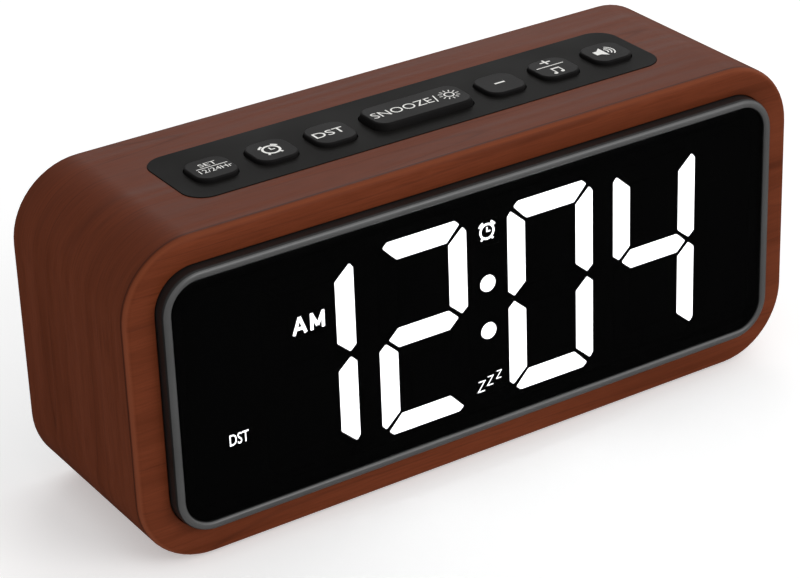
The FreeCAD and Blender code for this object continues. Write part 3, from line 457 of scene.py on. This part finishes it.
def sunSign(size):
    shapes = [arc((0, 0), size * 0.22, 0, 360, size * 0.07)]
    for i in range(12):
        t = i * math.pi / 6
        out = (math.cos(t) * size, math.sin(t) * size)
        shapes.append(line((out[0] * 0.32, out[1] * 0.32), (out[0] * 0.5, out[1] * 0.5),
                           size * 0.055))
    return shapes


def speakerSign(size):
    h = size / 2
    body = blob([(-h, -h * 0.42), (-h * 0.5, -h * 0.42), (h * 0.08, -h * 0.95),
                 (h * 0.08, h * 0.95), (-h * 0.5, h * 0.42), (-h, h * 0.42)])
    waves = [arc((0, 0), h * reach, -52, 52, size * 0.07) for reach in (0.5, 0.82, 1.14)]
    return [body] + waves


def notesSign(size):
    # two beamed notes
    h, thin = size / 2, size * 0.1
    return [line((-h * 0.55 - thin / 2, h * 0.75), (h * 0.65 + thin / 2, h * 0.75), thin * 1.6),
            line((-h * 0.55, h * 0.6), (-h * 0.55, -h * 0.75), thin),
            line((h * 0.65, h * 0.6), (h * 0.65, -h * 0.6), thin),
            disc((-h * 0.78, -h * 0.75), h * 0.28), disc((h * 0.42, -h * 0.6), h * 0.28)]


# case
caseSizes = {
    "cornerRadius": 15.5, "wall": 2.6, "frontWall": 3.0, "frontRound": 1.5, "backRound": 0.7,
    "windowGap": 0.15, "windowRound": 0.25, "keypadGap": 0.06, "keypadRadius": 5.0,
    "panelArea": 500.0,                # mm2, the keypad opens a flat face larger than this
    # how square a face stands to Y, to Z below, or to Z at the keypad
    "flatFace": 0.72, "underFace": 0.95, "levelFace": 0.99,
    "frontGrain": 600.0, "underGrain": 300.0,   # mm along the film where these faces start
}


def perimeterPlace(x, z, halfWidth, halfHeight, radius):
    # distance along the case's outline from the middle of the top, clockwise from the front
    a, b = halfWidth - radius, halfHeight - radius
    quarter = radius * math.pi / 2
    side = 1 if x >= 0 else -1
    x = abs(x)
    if x > a and z > b:
        place = a + radius * math.atan2(x - a, z - b)
    elif x > a and z < -b:
        place = a + quarter + 2 * b + radius * math.atan2(-b - z, x - a)
    elif x <= a:
        place = x if z > 0 else a + 2 * quarter + 2 * b + a - x
    else:
        place = a + quarter + b - z
    return side * place


def layGrain(bm, middleZ, halfWidth, halfHeight, radius):
    # grain along U: round the outline on the wrap, straight across on the front and back
    s = caseSizes
    layer = bm.loops.layers.uv.new("grain")
    bottom = halfWidth - radius
    for face in bm.faces:
        normal = face.normal
        flat = abs(normal.y) > s["flatFace"]
        under = normal.z < -s["underFace"]
        for loop in face.loops:
            x, y, z = loop.vert.co
            if flat:
                place = (x + s["frontGrain"], z)
            elif under:
                place = (halfHeight * 2 + bottom - x + s["underGrain"], y)
            else:
                place = (perimeterPlace(x, z - middleZ, halfWidth, halfHeight, radius), y)
            loop[layer].uv = (place[0] / perMetre, place[1] / perMetre)


def cutPanel(bm, width, depth, radius, height, centreY, thicknessZ):
    # opens a rounded hole through the flat top: outer face at height, inner at height less wall
    s = caseSizes
    rims = []
    for z in (height, height - thicknessZ):
        flat = [f for f in bm.faces if abs(f.normal.z) > s["levelFace"]
                and all(abs(v.co.z - z) < nearby for v in f.verts)
                and f.calc_area() > s["panelArea"]]
        border = flat[0].edges[:]
        bmesh.ops.delete(bm, geom=flat, context="FACES_ONLY")
        hole = outline(bm, width, depth, radius, z, (0.0, centreY), up="Z")
        rim = hole.edges[:]
        bmesh.ops.delete(bm, geom=[hole], context="FACES_ONLY")
        bmesh.ops.triangle_fill(bm, edges=border + rim, use_beauty=True)
        rims.append(rim)
    bmesh.ops.bridge_loops(bm, edges=rims[0] + rims[1])


def makeCase():
    # wrap-round case: front frame with its window, keypad opening, open back
    s = caseSizes
    low, high = nodeBox("case_shell")
    width, height = high.x - low.x, high.z - low.z
    middle = (0.0, (high.z + low.z) / 2)
    lensLow, lensHigh = nodeBox("display_lens")
    keypadLow, keypadHigh = nodeBox("keypad_panel")
    display = (0.0, (lensLow.z + lensHigh.z) / 2)
    inner = (width - 2 * s["wall"], height - 2 * s["wall"], s["cornerRadius"] - s["wall"])
    window = (bezelSizes["width"] + 2 * s["windowGap"], bezelSizes["height"] + 2 * s["windowGap"],
              bezelSizes["outerRadius"] + s["windowGap"])

    def outer(inset, at):
        return (width - 2 * inset, height - 2 * inset, s["cornerRadius"] - inset, at, middle)

    def opening(grow, at):
        return (window[0] + 2 * grow, window[1] + 2 * grow, window[2] + grow, at, display)

    rings = [(*inner, high.y, middle), (*inner, low.y + s["frontWall"], middle),
             opening(0.0, low.y + s["frontWall"])]
    rings += [opening(inset, low.y + drop) for inset, drop in roundOver(s, "windowRound")]
    front = [outer(inset, low.y + drop) for inset, drop in roundOver(s, "frontRound")]
    rings += front[::-1]
    rings += [outer(inset, high.y - drop) for inset, drop in roundOver(s, "backRound")]
    bm = bmesh.new()
    loft(bm, rings, closed=True)
    bmesh.ops.recalc_face_normals(bm, faces=bm.faces[:])
    keypadWidth = keypadSizes["width"] + 2 * s["keypadGap"]
    keypadDepth = keypadSizes["depth"] + 2 * s["keypadGap"]
    cutPanel(bm, keypadWidth, keypadDepth, s["keypadRadius"] + s["keypadGap"], high.z,
             (keypadLow.y + keypadHigh.y) / 2, s["wall"])
    bmesh.ops.recalc_face_normals(bm, faces=bm.faces[:])
    layGrain(bm, middle[1], width / 2, height / 2, s["cornerRadius"])
    piece = finishPiece(bm, "woodCase", [wood], "clock")
    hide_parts("case_shell")
    return piece


# bezel and lens
bezelSizes = {
    "width": 146.7, "height": 56.5, "outerRadius": 8.5, "beadWidth": 2.0, "innerRadius": 6.0,
    "outerRound": 1.1, "innerRound": 0.8, "flange": 1.7, "flangeThickness": 1.6,
    "ledge": 2.6, "windowRadius": 2.4, "lensGap": 0.12, "lensRound": 0.15,
    "crown": 0.45,                               # mm of the bead's height painted paler: a lighter ring and a painted highlight
}


def makeBezel():
    # satin black ring: plain outer wall, rounded bead, seat for the lens, flange behind
    s = bezelSizes
    low, high = nodeBox("front_bezel")
    lensBack = nodeBox("display_lens")[1].y
    middle = (0.0, (low.z + high.z) / 2)
    flangeY = high.y - s["flangeThickness"]

    def ring(width, height, radius, at):
        return (width, height, radius, at, middle)

    def outer(inset, at):
        return ring(s["width"] - 2 * inset, s["height"] - 2 * inset, s["outerRadius"] - inset, at)

    def inner(inset, at):
        # corners run from the lens's radius at the wall to the bead's own at its crown
        step = s["beadWidth"] + inset
        crownRadius = s["outerRadius"] - s["beadWidth"] + s["innerRound"]
        share = -inset / s["innerRound"]
        radius = s["innerRadius"] * (1 - share) + crownRadius * share
        return ring(s["width"] - 2 * step, s["height"] - 2 * step, radius, at)

    windowSize = (s["width"] - 2 * (s["beadWidth"] + s["ledge"]),
                  s["height"] - 2 * (s["beadWidth"] + s["ledge"]), s["windowRadius"])
    rings = [outer(-s["flange"], high.y), outer(-s["flange"], flangeY), outer(0.0, flangeY)]
    rings += [outer(inset, low.y + drop) for inset, drop in roundOver(s, "outerRound")]
    rings += [inner(-inset, low.y + drop) for inset, drop in roundOver(s, "innerRound")[::-1]]
    rings += [inner(0.0, lensBack), ring(*windowSize, lensBack), ring(*windowSize, high.y)]
    bm = bmesh.new()
    loft(bm, rings, closed=True)
    bmesh.ops.recalc_face_normals(bm, faces=bm.faces[:])
    for face in bm.faces:
        depth = face.calc_center_median().y
        if abs(depth - lensBack) < nearby:                 # matt black under the lens
            face.material_index = 1
        elif depth < low.y + s["crown"]:
            face.material_index = 2                        # the crown of the bead is painted paler: a lighter ring and a painted highlight
    piece = finishPiece(bm, "displayBezel", [bezelGloss, maskFilm, bezelCrownHighlight], "clock")
    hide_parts("front_bezel")
    return piece


def makeLens():
    # smoked window with a fine polished edge
    s = bezelSizes
    low, high = nodeBox("display_lens")
    width, height = high.x - low.x, high.z - low.z
    middle = (0.0, (low.z + high.z) / 2)
    radius = s["innerRadius"] - s["lensGap"]
    rings = [(width, height, radius, high.y, middle)]
    rings += [(width - 2 * inset, height - 2 * inset, radius - inset, low.y + drop, middle)
              for inset, drop in roundOver(s, "lensRound")]
    bm = bmesh.new()
    loft(bm, rings, caps=(True, True))
    bmesh.ops.recalc_face_normals(bm, faces=bm.faces[:])
    piece = finishPiece(bm, "smokedLens", [lensMaterial], "clock")
    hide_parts("display_lens")
    return piece


# lit legends in the display
indicatorLook = {
    # the plates lie this far behind the legends
    "plateDrop": 0.06, "plateCorner": 0.4, "plateSteps": 3,
    # x, z above the case bottom, width, height, size of what is printed
    "morning": (-41.2, 44.5, 9.6, 5.4, 3.7), "summer": (-58.2, 24.6, 6.4, 4.0, 2.5),
    "alarm": (0.9, 51.5, 6.0, 6.0, 4.7), "snooze": (0.9, 17.6, 8.0, 5.4, 2.5),
    "morningShift": -0.15, "summerShift": -0.1, "alarmRise": 0.2,
    "summerSqueeze": 0.7, "summerHeavy": 0.002, "snoozeSqueeze": 0.85, "snoozeHeavy": -0.012,
    # the three letters of the snooze sign climb to the right and get smaller
    "snoozeStart": (-2.3, -0.7), "snoozeStep": (2.2, 0.75), "snoozeShrink": 0.13,
    "snoozeSlant": 0.15,
}


def makeIndicators():
    # four dark windows in the mask, each with its lit legend
    s = indicatorLook
    low, high = nodeBox("indicator_windows")
    caseLow = nodeBox("case_shell")[0]
    bm = bmesh.new()
    for name in ("morning", "summer", "alarm", "snooze"):
        x, z, width, height, size = s[name]
        rings = [(width, height, s["plateCorner"], y, (x, caseLow.z + z))
                 for y in (high.y, low.y + s["plateDrop"])]
        loft(bm, rings, caps=(True, True), steps=s["plateSteps"])
    bmesh.ops.recalc_face_normals(bm, faces=bm.faces[:])

    def place(meshes, x, z):
        turn = Matrix.Rotation(math.pi / 2, 4, "X")
        for i, mesh in enumerate(meshes):
            spot = Matrix.Translation((x, low.y + i * keySizes["inkStep"], caseLow.z + z))
            addMesh(bm, mesh, spot @ turn, 1)

    x, z, width, height, size = s["morning"]
    place(morningSign(size), x + s["morningShift"], z)
    x, z, width, height, size = s["summer"]
    place([lettering("DST", size, s["summerSqueeze"], s["summerHeavy"])], x + s["summerShift"], z)
    x, z, width, height, size = s["alarm"]
    place(alarmSign(size), x, z + s["alarmRise"])
    x, z, width, height, size = s["snooze"]
    for i in range(3):
        letter = lettering("Z", size * (1 - s["snoozeShrink"] * i), s["snoozeSqueeze"],
                           s["snoozeHeavy"], s["snoozeSlant"])
        place([letter], x + s["snoozeStart"][0] + s["snoozeStep"][0] * i,
              z + s["snoozeStart"][1] + s["snoozeStep"][1] * i)
    piece = finishPiece(bm, "litLegends", [maskFilm, litWhite], "clock", weighted=False)
    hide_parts("indicator_windows")
    return piece


# keypad
keypadSizes = {"width": 114.0, "depth": 22.4}
keySizes = {
    "radius": 2.9, "topRound": 0.4, "flange": 0.9, "flangeThickness": 0.8, "flangeDrop": 3.9,
    "stemRadius": 1.8, "stemFacets": 24, "inkThickness": 0.04, "inkStep": 0.002,
    "cornerSteps": 10, "cornerShare": 0.5,     # share of an inset that a corner's radius loses
}
snoozeSizes = {"taper": 0.6, "topRound": 0.5, "stemSpan": 13.0}


# printed on the keys: places are X and Y from the middle of the key's top
legendLook = {
    "bar": 0.3,                                          # width of a printed line
    # words: capital height, stretch, weight, place
    "set": ("SET", 1.5, 1.2, 0.0, (0.1, 1.7)),
    "hours": ("12/24Hr", 1.6, 0.98, 0.0, (0.3, -1.05)),
    "summer": ("DST", 2.5, 1.15, 0.006, (-0.4, 0)),
    "snooze": ("SNOOZE", 2.6, 0.98, 0.0, (-3.4, 0.1)),
    # lines: start, end, width in bars, place
    "setRule": ((-3.5, 0), (3.5, 0), 0.8, (0.4, 0.35)),
    "minus": ((-1.25, 0), (1.25, 0), 1.8, (0, 0)),
    "plusAcross": ((-1.3, 0), (1.3, 0), 1.5, (0.0, 3.0)),
    "plusUp": ((0, -1.15), (0, 1.15), 1.5, (0.0, 3.0)),
    "plusRule": ((-3.4, 0), (3.4, 0), 1.0, (-0.2, 0.9)),
    "slash": ((-0.35, -1.6), (0.35, 1.6), 1.0, (4.7, 0)),
    # signs: size, place
    "alarmSign": (5.2, (0, 0)), "speaker": (4.4, (-0.5, 0.2)),
    "notes": (3.1, (-0.2, -1.9)), "sun": (4.6, (8.1, 0.1)),
}


def keyLegends():
    # what is printed on each key: flat shapes and where they stand on its top
    s = legendLook

    def words(key):
        text, height, squeeze, heavy, spot = s[key]
        return [(lettering(text, height, squeeze, heavy), spot)]

    def rule(key):
        start, end, share, spot = s[key]
        return [(line(start, end, s["bar"] * share), spot)]

    def sign(draw, key):
        size, spot = s[key]
        return [(mesh, spot) for mesh in draw(size)]

    return {
        "set_key": words("set") + rule("setRule") + words("hours"),
        "alarm_key": sign(alarmSign, "alarmSign"),
        "dst_key": words("summer"),
        "minus_key": rule("minus"),
        "plus_key": rule("plusAcross") + rule("plusUp") + rule("plusRule")
        + sign(notesSign, "notes"),
        "volume_key": sign(speakerSign, "speaker"),
        "snooze_key": words("snooze") + rule("slash") + sign(sunSign, "sun"),
    }


def makeKey(name, legend):
    # cap with a softly rounded rim, hidden flange and stem, and its printed legend
    s = keySizes
    wide = name == "snooze_key"
    low, high = nodeBox(name)
    centre = ((low.x + high.x) / 2, (low.y + high.y) / 2)
    width = high.x - low.x - 2 * s["flange"]
    depth = high.y - low.y - 2 * s["flange"]
    top = high.z - s["inkThickness"]
    taper = snoozeSizes["taper"] / 2 if wide else 0.0
    flangeTop = nodeBox("case_shell")[1].z - s["flangeDrop"]
    panelTop = nodeBox("keypad_panel")[1].z
    flangeRing = (width + 2 * s["flange"], depth + 2 * s["flange"], s["radius"] + s["flange"])
    rings = [(*flangeRing, flangeTop - s["flangeThickness"], centre),
             (*flangeRing, flangeTop, centre), (width, depth, s["radius"], flangeTop, centre),
             (width, depth, s["radius"], panelTop, centre)]
    for inset, drop in roundOver(snoozeSizes if wide else s, "topRound"):
        inset += taper
        rings.append((width - 2 * inset, depth - 2 * inset, s["radius"] - inset * s["cornerShare"],
                      top - drop, centre))
    bm = bmesh.new()
    loft(bm, rings, up="Z", caps=(True, True), steps=s["cornerSteps"])
    stems = [-snoozeSizes["stemSpan"] / 2, snoozeSizes["stemSpan"] / 2] if wide else [0.0]
    stemTop = flangeTop - s["flangeThickness"]
    for x in stems:
        spot = Vector((centre[0] + x, centre[1], (stemTop + low.z) / 2))
        bmesh.ops.create_cone(bm, cap_ends=True, segments=s["stemFacets"], radius1=s["stemRadius"],
                              radius2=s["stemRadius"], depth=stemTop - low.z,
                              matrix=Matrix.Translation(spot))
    bmesh.ops.recalc_face_normals(bm, faces=bm.faces[:])
    for i, (mesh, (x, y)) in enumerate(legend):
        # each shape a hair below the last, so that none share a plane where they cross
        spot = (centre[0] + x, centre[1] + y, high.z - i * s["inkStep"])
        addMesh(bm, mesh, Matrix.Translation(spot), 1)
    piece = finishPiece(bm, name.replace("_key", "Key"), [keyPlastic, keyInk], name)
    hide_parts(name)
    return piece


print("case, bezel and lens")
makeCase()
makeBezel()
makeLens()
makeIndicators()

print("keys")
for keyName, keyLegend in keyLegends().items():
    makeKey(keyName, keyLegend)

# CAD pieces that stay, each with its finish
print("finishes of the pieces that stay")
finishes = {
    keypadPlastic: ["keypad_panel"],
    coverPlastic: ["rear_cover", "battery_door"],
    litWhite: ["hour_tens_lit_segments", "hour_units_lit_segments",
               "minute_tens_lit_segments", "minute_units_lit_segments", "colon_dots"],
    unlitGuide: ["unlit_segments"],
    maskFilm: ["segment_mask"],
    innerPlastic: ["segment_housing", "board_spacers", "pin_header", "speaker_frame",
                   "socket_tongue"],
    boardGreen: ["display_board", "main_board", "key_board", "power_board"],
    chipEpoxy: ["controller_chip", "board_parts", "key_switches"],
    ledResin: ["display_leds"],
    screwSteel: ["board_screws", "key_board_screws", "cover_screws", "speaker_magnet"],
    nickel: ["battery_contacts", "battery_springs", "power_socket"],
    cellSleeve: ["battery_cells"],
    conePaper: ["speaker_cone"],
    wireSleeve: ["speaker_lead", "battery_lead", "power_lead"],
    ribbonPlastic: ["key_ribbon"],
    rubber: ["rubber_feet"],
}
for material, names in finishes.items():
    for name in names:
        mesh = nodes[name].data
        mesh.materials.clear()
        mesh.materials.append(material)

# stage, light, camera
print("stage, light and camera")
stageLook = {
    "floor": "#F6F6F6", "floorSize": 8.0, "floorGlow": 0.36,
    "sky": 0.75, "below": 0.04, "backdrop": 1.0, "leftShade": 0.55, "rightShade": 1.15,
    "horizon": 0.1, "shadeStart": -0.5, "shadeEnd": 0.6,       # of a direction of length one
}
lamps = [
    # name, place, aimed at, width, height, watts
    ("keyLamp", (0.5, -1.2, 0.7), (0, 0, 0.035), 0.9, 0.6, 6.0),
    ("sheenLamp", (0.63, 0.98, 0.62), (0, 0, 0.035), 0.6, 0.4, 1.6),
]
cameraLook = {
    "azimuth": -32.7, "elevation": 26.7, "roll": -1.95, "distance": 0.5811,
    "lens": 125.2, "sensor": 36.0, "shiftX": -0.0228, "shiftY": -0.0321,
    "behindFront": 0.023, "belowTop": 0.0345,          # metres, the point it is aimed at
}


def makeStage():
    look = stageLook
    bm = bmesh.new()
    bmesh.ops.create_grid(bm, x_segments=1, y_segments=1, size=look["floorSize"] / 2)
    mesh = bpy.data.meshes.new("floor")
    bm.to_mesh(mesh)
    bm.free()
    floor = bpy.data.objects.new("floor", mesh)
    scene.collection.objects.link(floor)
    material = newMaterial(
        "paleFloor", Base_Color=srgb(look["floor"]), Roughness=0.9, Specular_IOR_Level=0.0,
        Emission_Color=srgb("#FFFFFF"), Emission_Strength=look["floorGlow"])[0]
    mesh.materials.append(material)
    floor.visible_glossy = False           # so that polished faces mirror the dark below
    # soft box of a world: even light above, dark below, plain white behind the clock
    world = bpy.data.worlds.new("softBox")
    world.use_nodes = True
    tree = world.node_tree
    ray = addNode(tree, "TexCoord", output="Generated")
    across, high = (addNode(tree, "SeparateXYZ", {0: ray}, axis) for axis in "XZ")
    light = addNode(tree, "MapRange", {
        0: high, 1: -look["horizon"], 2: look["horizon"], 3: look["below"], 4: look["sky"]})
    shade = addNode(tree, "MapRange", {
        0: across, 1: look["shadeStart"], 2: look["shadeEnd"], 3: look["leftShade"],
        4: look["rightShade"]})
    light = addNode(tree, "Math", {0: light, 1: shade}, operation="MULTIPLY")
    seen = addNode(tree, "LightPath", output="Is Camera Ray")
    strength = addNode(tree, "Mix", {0: seen, 2: light, 3: look["backdrop"]},
                       data_type="FLOAT")
    tree.links.new(strength, tree.nodes["Background"].inputs["Strength"])
    tree.nodes["Background"].inputs["Color"].default_value = (1, 1, 1, 1)
    scene.world = world


def makeLamps():
    for name, place, target, width, height, watts in lamps:
        light = bpy.data.lights.new(name, "AREA")
        light.shape = "RECTANGLE"
        light.size, light.size_y, light.energy = width, height, watts
        lamp = bpy.data.objects.new(name, light)
        lamp.location = place
        aim = Vector(target) - Vector(place)
        lamp.rotation_euler = aim.to_track_quat("-Z", "Y").to_euler()
        scene.collection.objects.link(lamp)


def makeCamera():
    look = cameraLook
    caseLow, caseHigh = [Vector(v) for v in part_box("case_shell")]
    target = Vector((0, caseLow.y + look["behindFront"], caseHigh.z - look["belowTop"]))
    a, e, r = (math.radians(look[key]) for key in ("azimuth", "elevation", "roll"))
    back = Vector((math.sin(a) * math.cos(e), -math.cos(a) * math.cos(e), math.sin(e)))
    right = Vector((0, 0, 1)).cross(back).normalized()
    up = back.cross(right)
    rolledRight = right * math.cos(r) + up * math.sin(r)
    rolledUp = up * math.cos(r) - right * math.sin(r)
    turn = Matrix((rolledRight, rolledUp, back)).transposed()
    camera = bpy.data.cameras.new("camera")
    camera.lens, camera.sensor_width = look["lens"], look["sensor"]
    camera.shift_x, camera.shift_y = look["shiftX"], look["shiftY"]
    holder = bpy.data.objects.new("camera", camera)
    holder.matrix_world = Matrix.Translation(target + back * look["distance"]) @ turn.to_4x4()
    scene.collection.objects.link(holder)
    scene.camera = holder


makeStage()
makeLamps()
makeCamera()
